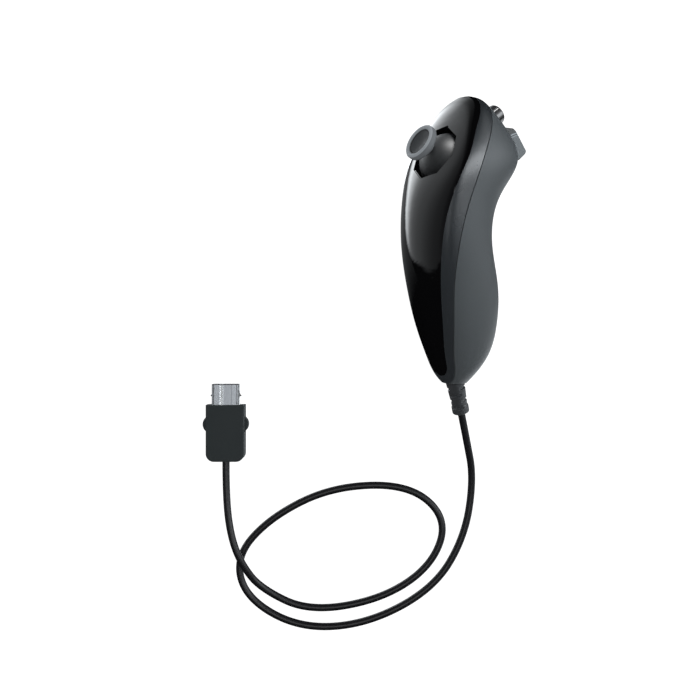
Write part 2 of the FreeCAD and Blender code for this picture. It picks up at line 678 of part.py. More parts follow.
def make_strain_relief(clear):
    """Flexible boot with staggered slots, held in the tail by its flange."""
    tip, base, axis = boot_axis()
    length = (tip - base).Length
    low = -BOOT_FLANGE_DEPTH - BOOT_FLANGE
    bend = BOOT_ROUND * (1 - math.sqrt(0.5))
    wide = BOOT_COLLAR_RADIUS
    outline = [(0, low), (BOOT_RADIUS, low), (BOOT_RADIUS, 0.4), (BOOT_NECK_RADIUS, length - BOOT_COLLAR),
               (wide, length - BOOT_COLLAR + 0.6), (wide, length - BOOT_ROUND),
               (wide - bend, length - bend, wide - BOOT_ROUND, length), (0, length)]
    boot = turned(outline)
    for k in range(4):
        low = BOOT_SLOT_STEP * (k + 1) - BOOT_SLOT / 2
        ring = Part.makeCylinder(2 * BOOT_RADIUS, BOOT_SLOT, V(0, 0, low))
        ring = ring.cut(Part.makeCylinder(BOOT_CORE, BOOT_SLOT, V(0, 0, low)))
        web = box(-10, 10, -BOOT_WEB, BOOT_WEB, low, low + BOOT_SLOT)
        web.rotate(V(0, 0, 0), V(0, 0, 1), BOOT_TURN + 90 * ((k + 1) % 2))
        boot = boot.cut(ring.cut(web))
    frame = FreeCAD.Placement(base, FreeCAD.Rotation(V(0, 0, 1), axis))
    flange = Part.makeCylinder(BOOT_FLANGE_RADIUS, BOOT_FLANGE, V(0, 0, -BOOT_FLANGE_DEPTH - BOOT_FLANGE))
    return framed(boot, frame).fuse(framed(flange, frame).common(clear))


def plug_outer():
    """Outside of the plug: square at the metal shell and rounded where the cord leaves."""
    block = box(-PLUG_HALF, PLUG_HALF, -PLUG_LENGTH, 0, 0, PLUG_HEIGHT)
    back = [e for e in block.Edges if abs(e.Length - PLUG_HEIGHT) < 1e-6
            and e.CenterOfMass.y < 0.01 - PLUG_LENGTH]
    block = block.makeFillet(PLUG_CORNER, back)
    rims = [e for e in block.Edges if min(abs(e.CenterOfMass.z), abs(e.CenterOfMass.z - PLUG_HEIGHT)) < 1e-6]
    return block.makeFillet(PLUG_EDGE, rims)


def shell_profile(grow, y, length):
    """Rounded rectangular bar in the plug's direction, grown all round."""
    half = SHELL_HALF + grow
    rise = SHELL_HEIGHT / 2 + grow
    bar = box(-half, half, y, y + length, PLUG_MIDDLE - rise, PLUG_MIDDLE + rise)
    along = [e for e in bar.Edges if abs(e.Length - length) < 1e-6
             and abs(e.tangentAt(e.FirstParameter).y) > 0.9]
    return bar.makeFillet(SHELL_CORNER + grow, along)


def plug_hollow():
    """Room inside the plug with its latch slots and the seat of the metal shell."""
    room = box(-PLUG_CAVITY_HALF, PLUG_CAVITY_HALF, PLUG_CAVITY_BACK, PLUG_CAVITY_FRONT,
               PLUG_CAVITY_LOW, PLUG_CAVITY_HIGH)
    rise = LATCH_HEIGHT / 2 + LATCH_GAP
    slots = box(-20, 20, LATCH_TO - LATCH_GAP, LATCH_FROM + LATCH_GAP,
                PLUG_MIDDLE - rise, PLUG_MIDDLE + rise)
    seat = shell_profile(0.02, -SHELL_SUNK, SHELL_SUNK + 1)
    return room.fuse(slots).fuse(seat)


def make_plug_base():
    """Lower half of the plug with the two latch pins."""
    half = plug_outer().common(box(-100, 100, -100, 100, 0, PLUG_MIDDLE)).cut(plug_hollow())
    for side in (-1, 1):
        x = side * LATCH_PIVOT_X
        half = half.fuse(rod(LATCH_PIN, V(x, LATCH_PIVOT_Y, PLUG_CAVITY_LOW - 0.5),
                             V(x, LATCH_PIVOT_Y, PLUG_CAVITY_HIGH - 0.1)))
    return half


def make_plug_cover():
    """Upper half of the plug."""
    return plug_outer().common(box(-100, 100, -100, 100, PLUG_MIDDLE, 20)).cut(plug_hollow())


def make_plug_shell():
    """Metal shell of the plug with a window for each latch hook."""
    length = SHELL_SUNK + SHELL_LENGTH
    tube = shell_profile(0, -SHELL_SUNK, length).cut(shell_profile(-SHELL_WALL, -SHELL_SUNK, length))
    rise = LATCH_ARM_HEIGHT / 2 + 0.3
    window = box(-20, 20, HOOK_BACK - 0.5, HOOK_FRONT + 0.5,
                 PLUG_MIDDLE - rise, PLUG_MIDDLE + rise)
    top = PLUG_MIDDLE + SHELL_HEIGHT / 2
    seam = box(SEAM_X - SEAM_WIDTH / 2, SEAM_X + SEAM_WIDTH / 2, 0, 20, top - BEAD_DEPTH, top + 1)
    axis_z = top + BEAD_RADIUS - BEAD_DEPTH
    bead = rod(BEAD_RADIUS, V(BEAD_X, 0, axis_z), V(BEAD_X, 20, axis_z))
    return tube.cut(window).cut(seam).cut(bead)


def make_plug_insert():
    """Plastic insert of the plug with its contact tongue."""
    rise = SHELL_HEIGHT / 2 - SHELL_WALL - 0.05
    block = box(-INSERT_HALF, INSERT_HALF, INSERT_BACK, 0, PLUG_MIDDLE - rise, PLUG_MIDDLE + rise)
    tongue = box(-INSERT_HALF, INSERT_HALF, 0, SHELL_LENGTH - TONGUE_RECESS,
                 PLUG_MIDDLE - TONGUE_THICKNESS / 2, PLUG_MIDDLE + TONGUE_THICKNESS / 2)
    return block.fuse(tongue)


def make_plug_contacts():
    """Contact strips on both faces of the tongue."""
    tip = SHELL_LENGTH - TONGUE_RECESS
    strips = []
    for k in range(CONTACTS_PER_SIDE):
        x = CONTACT_PITCH * (k - (CONTACTS_PER_SIDE - 1) / 2)
        for side in (-1, 1):
            face = PLUG_MIDDLE + side * TONGUE_THICKNESS / 2
            low, high = sorted((face, face + side * CONTACT_THICKNESS))
            strips.append(box(x - CONTACT_WIDTH / 2, x + CONTACT_WIDTH / 2, 0.01, tip - 0.4, low, high))
    return Part.makeCompound(strips)


def make_plug_latch(side):
    """Latch lever: round side button, arm inside the metal shell and hook."""
    def across(x0, x1, y0, y1, rise):
        low, high = sorted((side * x0, side * x1))
        return box(low, high, y0, y1, PLUG_MIDDLE - rise, PLUG_MIDDLE + rise)
    arm_outer = LATCH_ARM_INNER + LATCH_ARM
    rise = LATCH_ARM_HEIGHT / 2
    lever = across(LATCH_ARM_INNER, arm_outer, LATCH_PIVOT_Y, HOOK_FRONT + 0.3, rise)
    x = side * LATCH_PIVOT_X
    barrel = rod(LATCH_BARREL, V(x, LATCH_PIVOT_Y, PLUG_MIDDLE - rise),
                 V(x, LATCH_PIVOT_Y, PLUG_MIDDLE + rise))
    outer = PLUG_HALF + LATCH_PROUD
    half = (LATCH_FROM - LATCH_TO) / 2
    bow = (half ** 2 + LATCH_PROUD ** 2) / (2 * LATCH_PROUD)
    middle = V(side * (outer - bow), LATCH_TO + half, PLUG_MIDDLE - LATCH_HEIGHT / 2)
    button = Part.makeCylinder(bow, LATCH_HEIGHT, middle)
    button = button.common(across(LATCH_ARM_INNER, outer, LATCH_TO, LATCH_FROM, LATCH_HEIGHT / 2))
    hook_tip = SHELL_HALF + HOOK_PROUD
    hook = Part.makePolygon([V(side * LATCH_ARM_INNER, HOOK_BACK, PLUG_MIDDLE - rise),
                             V(side * hook_tip, HOOK_BACK, PLUG_MIDDLE - rise),
                             V(side * (arm_outer - 0.1), HOOK_FRONT, PLUG_MIDDLE - rise),
                             V(side * LATCH_ARM_INNER, HOOK_FRONT, PLUG_MIDDLE - rise),
                             V(side * LATCH_ARM_INNER, HOOK_BACK, PLUG_MIDDLE - rise)])
    lever = lever.fuse(Part.Face(hook).extrude(V(0, 0, LATCH_ARM_HEIGHT))).fuse(barrel).fuse(button)
    bore = rod(LATCH_PIN + RUNNING_GAP, V(x, LATCH_PIVOT_Y, 0), V(x, LATCH_PIVOT_Y, PLUG_HEIGHT))
    return lever.cut(bore)


def tube_along(points, radius):
    """Tube of straight runs joined by tangent arcs, with its length and tightest radius."""
    runs = [points[i + 1] - points[i] for i in range(len(points) - 1)]
    edges = []
    start = points[0]
    tightest = 1e9
    for i in range(1, len(points) - 1):
        before, after = V(runs[i - 1]), V(runs[i])
        cut = ARC_SHARE * min(before.Length, after.Length)
        turn = before.getAngle(after)
        before.normalize()
        after.normalize()
        into = points[i] - before * cut
        out = points[i] + after * cut
        arc_radius = cut / math.tan(turn / 2)
        tightest = min(tightest, arc_radius)
        inward = after - before
        inward.normalize()
        centre = points[i] + inward * (arc_radius / math.cos(turn / 2))
        middle = centre - inward * arc_radius
        edges.append(Part.makeLine(start, into))
        edges.append(Part.Arc(into, middle, out).toShape())
        start = out
    edges.append(Part.makeLine(start, points[-1]))
    path = Part.Wire(edges)
    first = V(runs[0])
    profile = Part.Wire([Part.makeCircle(radius, points[0], first)])
    tube = path.makePipeShell([profile], True, False)
    return tube, path.Length, tightest


def make_cord(start, outward):
    """Cord from the strain relief to the plug, with its loop on the table."""
    end = V(PLUG_AT[0], PLUG_AT[1] - PLUG_LENGTH, PLUG_MIDDLE)
    first = start + outward * CORD_FIRST_RUN
    points = [start, first] + [V(*corner) for corner in CORD_ROUTE] + [end]
    tube, length, tightest = tube_along(points, CORD_DIAMETER / 2)
    area = math.pi * CORD_DIAMETER ** 2 / 4
    print("cord length %.1f, tightest bend %.1f, volume ratio %.4f"
          % (length, tightest, tube.Volume / (area * length)))
    return tube


def resting_frame():
    """Turn and height at which the body lies on the table on its left flank."""
    turn = FreeCAD.Rotation(V(1, 0, 0), PITCH).multiply(FreeCAD.Rotation(V(0, 1, 0), -ROLL))
    lying = outer_body()
    lying.Placement = FreeCAD.Placement(V(0, 0, 0), turn)
    lowest = min(point.z for point in lying.tessellate(0.02)[0])
    print("resting height %.3f" % -lowest)
    return FreeCAD.Placement(V(PLACE_X, PLACE_Y, -lowest), turn)


def build():
    """Make every node and write its file."""
    hollow = casing()
    core = outer_body(WALL / 2)
    clear = inner_body(WALL + INNER_GAP)
    groove = parting_groove()
    band = make_side_band(hollow, groove)
    lying = {
        "front_cover": make_front_cover(hollow, band, core),
        "side_band": band,
        "rear_shell": make_rear_shell(hollow, groove, core),
        "main_board": make_main_board(),
        "main_chip": chip(CHIP, -5.5, BOARD_SCREW_Y + 6.2),
        "motion_sensor": chip(SENSOR_CHIP, 6.5, BOARD_SCREW_Y + 11),
        "small_parts": make_small_parts(),
        "cable_connector": make_connector(),
        "wires": make_wires(),
        "board_screws": make_board_screws(),
        "case_screws": make_case_screws(),
        "stick_housing": make_stick_frame(),
        "stick_screws": make_stick_screws(),
        "stick_sensor_x": make_sensor_x(),
        "stick_sensor_y": make_sensor_y(),
        "centring_spring": make_centring_spring(),
        "gimbal_ring": make_gimbal_ring(),
        "stick_shaft": make_stick_shaft(),
        "stick_dome": make_stick_dome(),
        "thumb_cap": make_thumb_cap(),
        "round_button": make_round_button(),
        "button_pad": make_button_pad(),
        "button_board": make_button_board(),
        "button_bracket": make_button_bracket(clear),
        "trigger": make_trigger(),
        "trigger_pin": make_trigger_pin(),
        "strain_relief": make_strain_relief(clear),
    }
    rest = resting_frame()
    nodes = {name: framed(shape, rest) for name, shape in lying.items()}
    tip, base, axis = boot_axis()
    nodes["cord"] = make_cord(rest.multVec(tip), rest.Rotation.multVec(axis))
    plug = {
        "plug_base": make_plug_base(),
        "plug_cover": make_plug_cover(),
        "plug_shell": make_plug_shell(),
        "plug_insert": make_plug_insert(),
        "plug_contacts": make_plug_contacts(),
        "plug_latch_left": make_plug_latch(-1),
        "plug_latch_right": make_plug_latch(1),
    }
    nodes.update({name: framed(shape, PLUG_FRAME) for name, shape in plug.items()})
    for name, shape in nodes.items():
        shape.exportStep("parts/%s.step" % name)
        print(name, len(shape.Solids), round(shape.Volume, 2), shape.isValid())


build()
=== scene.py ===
"""Looks of a one-handed motion game controller that lies on a table with its cord and plug.

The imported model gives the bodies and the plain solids. This script dresses them, gives finer
surfaces to the pieces that need them, lays the cord, and sets up the table, lights and camera.
Sizes named in millimetres are turned into metres by MM when a piece is placed.
"""
import json
import logging
import math
from dataclasses import dataclass
from enum import Enum

import bmesh
import bpy
import numpy as np
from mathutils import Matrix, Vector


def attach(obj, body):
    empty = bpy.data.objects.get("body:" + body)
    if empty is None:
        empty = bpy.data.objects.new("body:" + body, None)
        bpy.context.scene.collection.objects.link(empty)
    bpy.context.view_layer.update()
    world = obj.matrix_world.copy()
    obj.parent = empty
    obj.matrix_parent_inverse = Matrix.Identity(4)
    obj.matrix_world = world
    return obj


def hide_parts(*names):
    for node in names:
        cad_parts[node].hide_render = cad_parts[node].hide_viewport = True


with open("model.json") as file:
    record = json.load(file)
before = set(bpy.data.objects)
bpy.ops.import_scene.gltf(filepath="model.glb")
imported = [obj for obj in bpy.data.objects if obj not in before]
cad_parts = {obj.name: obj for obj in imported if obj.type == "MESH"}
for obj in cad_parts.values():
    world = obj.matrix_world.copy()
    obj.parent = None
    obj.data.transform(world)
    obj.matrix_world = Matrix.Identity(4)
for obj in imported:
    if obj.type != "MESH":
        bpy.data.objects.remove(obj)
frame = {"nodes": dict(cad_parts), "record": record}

LOG = logging.getLogger("controller")
MM = 0.001
WELD_M = 1e-7
SLIVER_M = 1e-8
EDGE_DEG = 35.0
FINE_EDGE_DEG = 50.0
LARGEST_CUT = 0.49
GLOSS_PATCH = 1.7
Colour = tuple[float, float, float]
Point = tuple[float, float, float]

SHELL_GREY: Colour = (0.064, 0.073, 0.079)
ACROSS_TRIGGER: Point = (-0.447, 0.894, 0.0)
ACROSS_X: Point = (1.0, 0.0, 0.0)
ACROSS_Y: Point = (0.0, 1.0, 0.0)


class Body(Enum):
    """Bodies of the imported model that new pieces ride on."""

    CONTROLLER = "controller"
    STICK = "stick"
    ROUND_BUTTON = "round_button"


# ---------------------------------------------------------------- axes and surfaces


@dataclass(frozen=True)
class Axes:
    """Right-handed axes of a sub-assembly: the columns of basis are its x, y and z."""

    origin: np.ndarray
    basis: np.ndarray

    def put(self, points: np.ndarray) -> np.ndarray:
        """Points of these axes in the outer axes: basis p + origin.

        Args:
            points: Array whose last axis holds x, y and z.

        Returns:
            Array of the same shape.
        """
        return points @ self.basis.T + self.origin

    def inside(self, outer: "Axes") -> "Axes":
        """These axes, which are given in outer, in the axes that hold outer."""
        return Axes(outer.put(self.origin), outer.basis @ self.basis)


def turn_about_x(angle: float) -> np.ndarray:
    """Matrix of a turn about x by an angle in radians."""
    c, s = math.cos(angle), math.sin(angle)
    return np.array([[1.0, 0.0, 0.0], [0.0, c, -s], [0.0, s, c]])


def turn_about_y(angle: float) -> np.ndarray:
    """Matrix of a turn about y by an angle in radians."""
    c, s = math.cos(angle), math.sin(angle)
    return np.array([[c, 0.0, s], [0.0, 1.0, 0.0], [-s, 0.0, c]])


def ramp(values: np.ndarray, low: float, high: float) -> np.ndarray:
    """Smooth step from 0 at low to 1 at high: 3 t^2 - 2 t^3 of the clamped share t."""
    share = np.clip((values - low) / (high - low), 0.0, 1.0)
    return share * share * (3.0 - 2.0 * share)


def rounded_outline(corners: list[tuple[float, float, float]], steps: int = 8) -> np.ndarray:
    """Outline whose corners are replaced by tangent curves.

    Each corner c with neighbours a and b becomes the quadratic curve
    (1-t)^2 p + 2t(1-t) c + t^2 q, with p and q at the corner's cut from c towards a and b. A cut
    stays under half of each side, so that two curves on one side never meet.

    Args:
        corners: Radius, height and cut length of each corner, in millimetres.
        steps: Points on each rounded corner.

    Returns:
        Array of radius and height along the outline.
    """
    spots = np.array([c[:2] for c in corners])
    parts = [spots[:1]]
    t = np.linspace(0.0, 1.0, steps)[:, None]
    for before, spot, after, corner in zip(spots, spots[1:], spots[2:], corners[1:]):
        reach_in, reach_out = np.linalg.norm(before - spot), np.linalg.norm(after - spot)
        cut = min(corner[2], LARGEST_CUT * reach_in, LARGEST_CUT * reach_out)
        p = spot + (before - spot) * cut / reach_in
        q = spot + (after - spot) * cut / reach_out
        parts.append((1 - t) ** 2 * p + 2 * t * (1 - t) * spot + t**2 * q)
    return np.vstack(parts + [spots[-1:]])


def turned_surface(outline: np.ndarray, around: int = 96) -> np.ndarray:
    """Grid of an outline turned about z: (r cos a, r sin a, z).

    Args:
        outline: Radius and height along the outline.
        around: Number of steps in a full turn.

    Returns:
        Array of shape (around, len(outline), 3).
    """
    angle = np.linspace(0.0, 2.0 * math.pi, around, endpoint=False)[:, None]
    radius, height = outline[:, 0][None], outline[:, 1][None]
    flat = np.broadcast_to(height, (around, len(outline)))
    return np.stack([radius * np.cos(angle), radius * np.sin(angle), flat], axis=-1)


def grid_faces(rows: int, columns: int, wrap: bool) -> np.ndarray:
    """Four-sided faces of a grid; with wrap, the last row joins the first."""
    i = np.arange(rows if wrap else rows - 1)[:, None]
    j = np.arange(columns - 1)[None]
    following = (i + 1) % rows
    corners = [i * columns + j, following * columns + j, following * columns + j + 1,
               i * columns + j + 1]
    return np.stack(np.broadcast_arrays(*corners), axis=-1).reshape(-1, 4)


def make_piece(name: str, points: np.ndarray, faces: np.ndarray,
               sharp: float = EDGE_DEG) -> bpy.types.Object:
    """Closed smooth mesh object at the origin.

    Args:
        name: Name of the piece.
        points: Vertices in metres on the table; any shape that ends in x, y and z.
        faces: Vertex numbers of each face.
        sharp: Angle in degrees above which an edge stays sharp.

    Returns:
        The new object.
    """
    mesh = bpy.data.meshes.new(name)
    mesh.from_pydata(points.reshape(-1, 3).tolist(), [], faces.tolist())
    work = bmesh.new()
    work.from_mesh(mesh)
    bmesh.ops.remove_doubles(work, verts=work.verts, dist=WELD_M)
    bmesh.ops.dissolve_degenerate(work, edges=work.edges, dist=SLIVER_M)
    bmesh.ops.recalc_face_normals(work, faces=work.faces)
    work.to_mesh(mesh)
    work.free()
    mesh.shade_smooth()
    mesh.set_sharp_from_angle(angle=math.radians(sharp))
    piece = bpy.data.objects.new(name, mesh)
    bpy.context.scene.collection.objects.link(piece)
    return piece


# ---------------------------------------------------------------- finishes


class ShaderSheet:
    """Adds and joins the nodes of one shader tree."""

    def __init__(self, tree: bpy.types.NodeTree) -> None:
        """Keeps the tree that the nodes go into."""
        self.tree = tree

    def add(self, kind: str, inputs: dict | None = None, **settings: object) -> bpy.types.Node:
        """New node with its settings and inputs.

        Args:
            kind: Blender's name of the node type.
            inputs: Value or output socket of each named or numbered input.
            **settings: Attributes of the node.

        Returns:
            The node.
        """
        node = self.tree.nodes.new(kind)
        for key, value in settings.items():
            setattr(node, key, value)
        for key, value in (inputs or {}).items():
            if isinstance(value, bpy.types.NodeSocket):
                self.tree.links.new(value, node.inputs[key])
            else:
                node.inputs[key].default_value = value
        return node

    def maths(self, operation: str, *values: object) -> bpy.types.NodeSocket:
        """Result of a Math node on numbers or sockets."""
        return self.add("ShaderNodeMath", dict(enumerate(values)), operation=operation).outputs[0]

    def place(self) -> bpy.types.NodeSocket:
        """Coordinates of the surface: metres on the table."""
        return self.add("ShaderNodeTexCoord").outputs["Object"]


class SurfaceEffects:
    """Shader node groups that several finishes share."""

    def __init__(self) -> None:
        """Builds each group once."""
        self.grain = self._grain()
        self.tone = self._tone()
        self.gloss = self._gloss()

    @staticmethod
    def _group(name: str, numbers: tuple[str, ...], out: tuple[str, str]) -> tuple:
        """Empty group with a place input, number inputs and one output.

        Args:
            name: Name of the group.
            numbers: Names of its number inputs.
            out: Name and socket type of its output.

        Returns:
            The group, its sheet, its input node and its output node.
        """
        group = bpy.data.node_groups.new(name, "ShaderNodeTree")
        face = group.interface
        face.new_socket("Place", in_out="INPUT", socket_type="NodeSocketVector")
        for number in numbers:
            face.new_socket(number, in_out="INPUT", socket_type="NodeSocketFloat")
        if out[1] == "NodeSocketColor":
            face.new_socket("Colour", in_out="INPUT", socket_type="NodeSocketColor")
        face.new_socket(out[0], in_out="OUTPUT", socket_type=out[1])
        sheet = ShaderSheet(group)
        return group, sheet, sheet.add("NodeGroupInput"), sheet.add("NodeGroupOutput")

    @staticmethod
    def _swing(sheet: ShaderSheet, given: bpy.types.Node,
               **settings: float) -> bpy.types.NodeSocket:
        """Slow drift about zero: amount (noise - 0.5), with patches of the given size.

        Args:
            sheet: Sheet of the group.
            given: Input node of the group, with a place, a patch and an amount.
            **settings: Further inputs of the noise.

        Returns:
            The drift.
        """
        scale = sheet.maths("DIVIDE", 1.0, given.outputs["Patch"])
        noise = sheet.add("ShaderNodeTexNoise",
                          {"Vector": given.outputs["Place"], "Scale": scale, **settings})
        centred = sheet.maths("SUBTRACT", noise.outputs[0], 0.5)
        return sheet.maths("MULTIPLY", centred, given.outputs["Amount"])

    def _grain(self) -> bpy.types.NodeTree:
        """Moulded grain: depth (noise + distance to the next cell), a height in metres."""
        group, sheet, given, result = self._group(
            "moulded_grain", ("Size", "Depth"), ("Height", "NodeSocketFloat"))
        spread = {"Vector": given.outputs["Place"],
                  "Scale": sheet.maths("DIVIDE", 1.0, given.outputs["Size"])}
        noise = sheet.add("ShaderNodeTexNoise", {**spread, "Detail": 2.0, "Roughness": 0.6})
        cells = sheet.add("ShaderNodeTexVoronoi", spread)
        both = sheet.maths("ADD", noise.outputs[0], cells.outputs["Distance"])
        height = sheet.maths("MULTIPLY", both, given.outputs["Depth"])
        group.links.new(height, result.inputs["Height"])
        return group

    def _tone(self) -> bpy.types.NodeTree:
        """Slow drift of a colour: colour times 1 + amount (noise - 0.5)."""
        group, sheet, given, result = self._group(
            "tone_drift", ("Patch", "Amount"), ("Toned", "NodeSocketColor"))
        factor = sheet.maths("ADD", self._swing(sheet, given, Detail=3.0), 1.0)
        scaled = sheet.add("ShaderNodeVectorMath", {0: given.outputs["Colour"], "Scale": factor},
                           operation="SCALE")
        group.links.new(scaled.outputs[0], result.inputs["Toned"])
        return group

    def _gloss(self) -> bpy.types.NodeTree:
        """Handling marks in the gloss: base + amount (noise - 0.5)."""
        group, sheet, given, result = self._group(
            "gloss_drift", ("Patch", "Base", "Amount"), ("Roughness", "NodeSocketFloat"))
        swing = self._swing(sheet, given, Detail=4.0, Distortion=0.6)
        group.links.new(sheet.maths("ADD", swing, given.outputs["Base"]),
                        result.inputs["Roughness"])
        return group


@dataclass(frozen=True)
class Finish:
    """Finish of one kind of surface; lengths are in metres."""

    name: str
    slot: str
    colour: Colour
    roughness: float
    grain: float = 0.00035
    depth: float = 0.000004
    tone: float = 0.12
    patch: float = 0.011
    wander: float = 0.06
    metallic: float = 0.0
    specular: float = 0.5

    def material(self, effects: SurfaceEffects) -> bpy.types.Material:
        """Material with tone drift, gloss drift and moulded grain.

        Args:
            effects: The shared node groups.

        Returns:
            The material.
        """
        material = bpy.data.materials.new(self.name)
        material.use_nodes = True
        sheet = ShaderSheet(material.node_tree)
        shader = material.node_tree.nodes["Principled BSDF"]
        place = self.place(sheet)
        tone = sheet.add("ShaderNodeGroup", node_tree=effects.tone)
        gloss = sheet.add("ShaderNodeGroup", node_tree=effects.gloss)
        for node, values in ((tone, {"Patch": self.patch, "Amount": self.tone,
                                     "Colour": (*self.colour, 1.0)}),
                             (gloss, {"Patch": self.patch * GLOSS_PATCH, "Base": self.roughness,
                                      "Amount": self.wander})):
            material.node_tree.links.new(place, node.inputs["Place"])
            for key, value in values.items():
                node.inputs[key].default_value = value
        shade = self.shade(sheet)
        if shade:
            scaled = sheet.add("ShaderNodeVectorMath", {0: self.colour, "Scale": shade},
                               operation="SCALE")
            material.node_tree.links.new(scaled.outputs[0], tone.inputs["Colour"])
        bump = sheet.add("ShaderNodeBump", {"Height": self.height(sheet, place, effects),
                                            "Distance": 1.0, "Strength": 1.0})
        material.node_tree.links.new(tone.outputs[0], shader.inputs["Base Color"])
        material.node_tree.links.new(gloss.outputs[0], shader.inputs["Roughness"])
        material.node_tree.links.new(bump.outputs[0], shader.inputs["Normal"])
        shader.inputs["Metallic"].default_value = self.metallic
        shader.inputs["Specular IOR Level"].default_value = self.specular
        return material

    def place(self, sheet: ShaderSheet) -> bpy.types.NodeSocket:
        """Coordinates that the pattern reads."""
        return sheet.place()

    def shade(self, sheet: ShaderSheet) -> bpy.types.NodeSocket | None:
        """Factor of the colour that changes over the surface; a plain finish has none."""
        return None

    def height(self, sheet: ShaderSheet, place: bpy.types.NodeSocket,
               effects: SurfaceEffects) -> bpy.types.NodeSocket:
        """Height of the surface's fine relief in metres."""
        grain = sheet.add("ShaderNodeGroup", node_tree=effects.grain)
        sheet.tree.links.new(place, grain.inputs["Place"])
        grain.inputs["Size"].default_value = self.grain
        grain.inputs["Depth"].default_value = self.depth
        return grain.outputs[0]


@dataclass(frozen=True)
class ShadePaintedFinish(Finish):
    """Finish whose colour is scaled by the painted light and shade that its piece carries on its
    points.
    """

    def shade(self, sheet: ShaderSheet) -> bpy.types.NodeSocket | None:
        """The piece's own painted light and shade."""
        return sheet.add("ShaderNodeAttribute", attribute_name="painted_light_and_shade").outputs["Fac"]


@dataclass(frozen=True)
class Band:
    """Straight band of a colour, with lengths in millimetres.

    across is the direction across the band, middle its place along that direction, half its half
    width, soft the width of its soft edge, and factor scales the colour inside it: above 1 for a
    painted highlight, below 1 for painted shade or a dark seam.
    """

    across: Point
    middle: float
    half: float
    soft: float
    factor: float


@dataclass(frozen=True)
class BandedFinish(Finish):
    """Finish whose colour changes in a few straight bands: painted highlights, painted shade and dark
    seams.
    """

    bands: tuple[Band, ...] = ()

    def shade(self, sheet: ShaderSheet) -> bpy.types.NodeSocket | None:
        """Product over the bands of 1 + (factor - 1) s, where s falls smoothly from 1 to 0."""
        source = sheet.place()
        total: bpy.types.NodeSocket | float = 1.0
        for band in self.bands:
            along = sheet.add("ShaderNodeVectorMath", {0: source, 1: band.across},
                              operation="DOT_PRODUCT")
            offset = sheet.maths("SUBTRACT", along.outputs["Value"], band.middle * MM)
            level = sheet.add("ShaderNodeMapRange", {
                "Value": sheet.maths("ABSOLUTE", offset), "From Min": band.half * MM,
                "From Max": (band.half + band.soft) * MM, "To Min": band.factor,
                "To Max": 1.0}, interpolation_type="SMOOTHSTEP")
            total = sheet.maths("MULTIPLY", total, level.outputs[0])
        return total


@dataclass(frozen=True)
class DrawnMetal(BandedFinish):
    """Banded metal with fine drawing lines along the table's y."""

    stretch: float = 0.04

    def place(self, sheet: ShaderSheet) -> bpy.types.NodeSocket:
        """Coordinates squeezed along y, so that the pattern runs in long lines."""
        mapping = sheet.add("ShaderNodeMapping", {"Vector": sheet.place(),
                                                  "Scale": (1.0, self.stretch, 1.0)})
        return mapping.outputs[0]


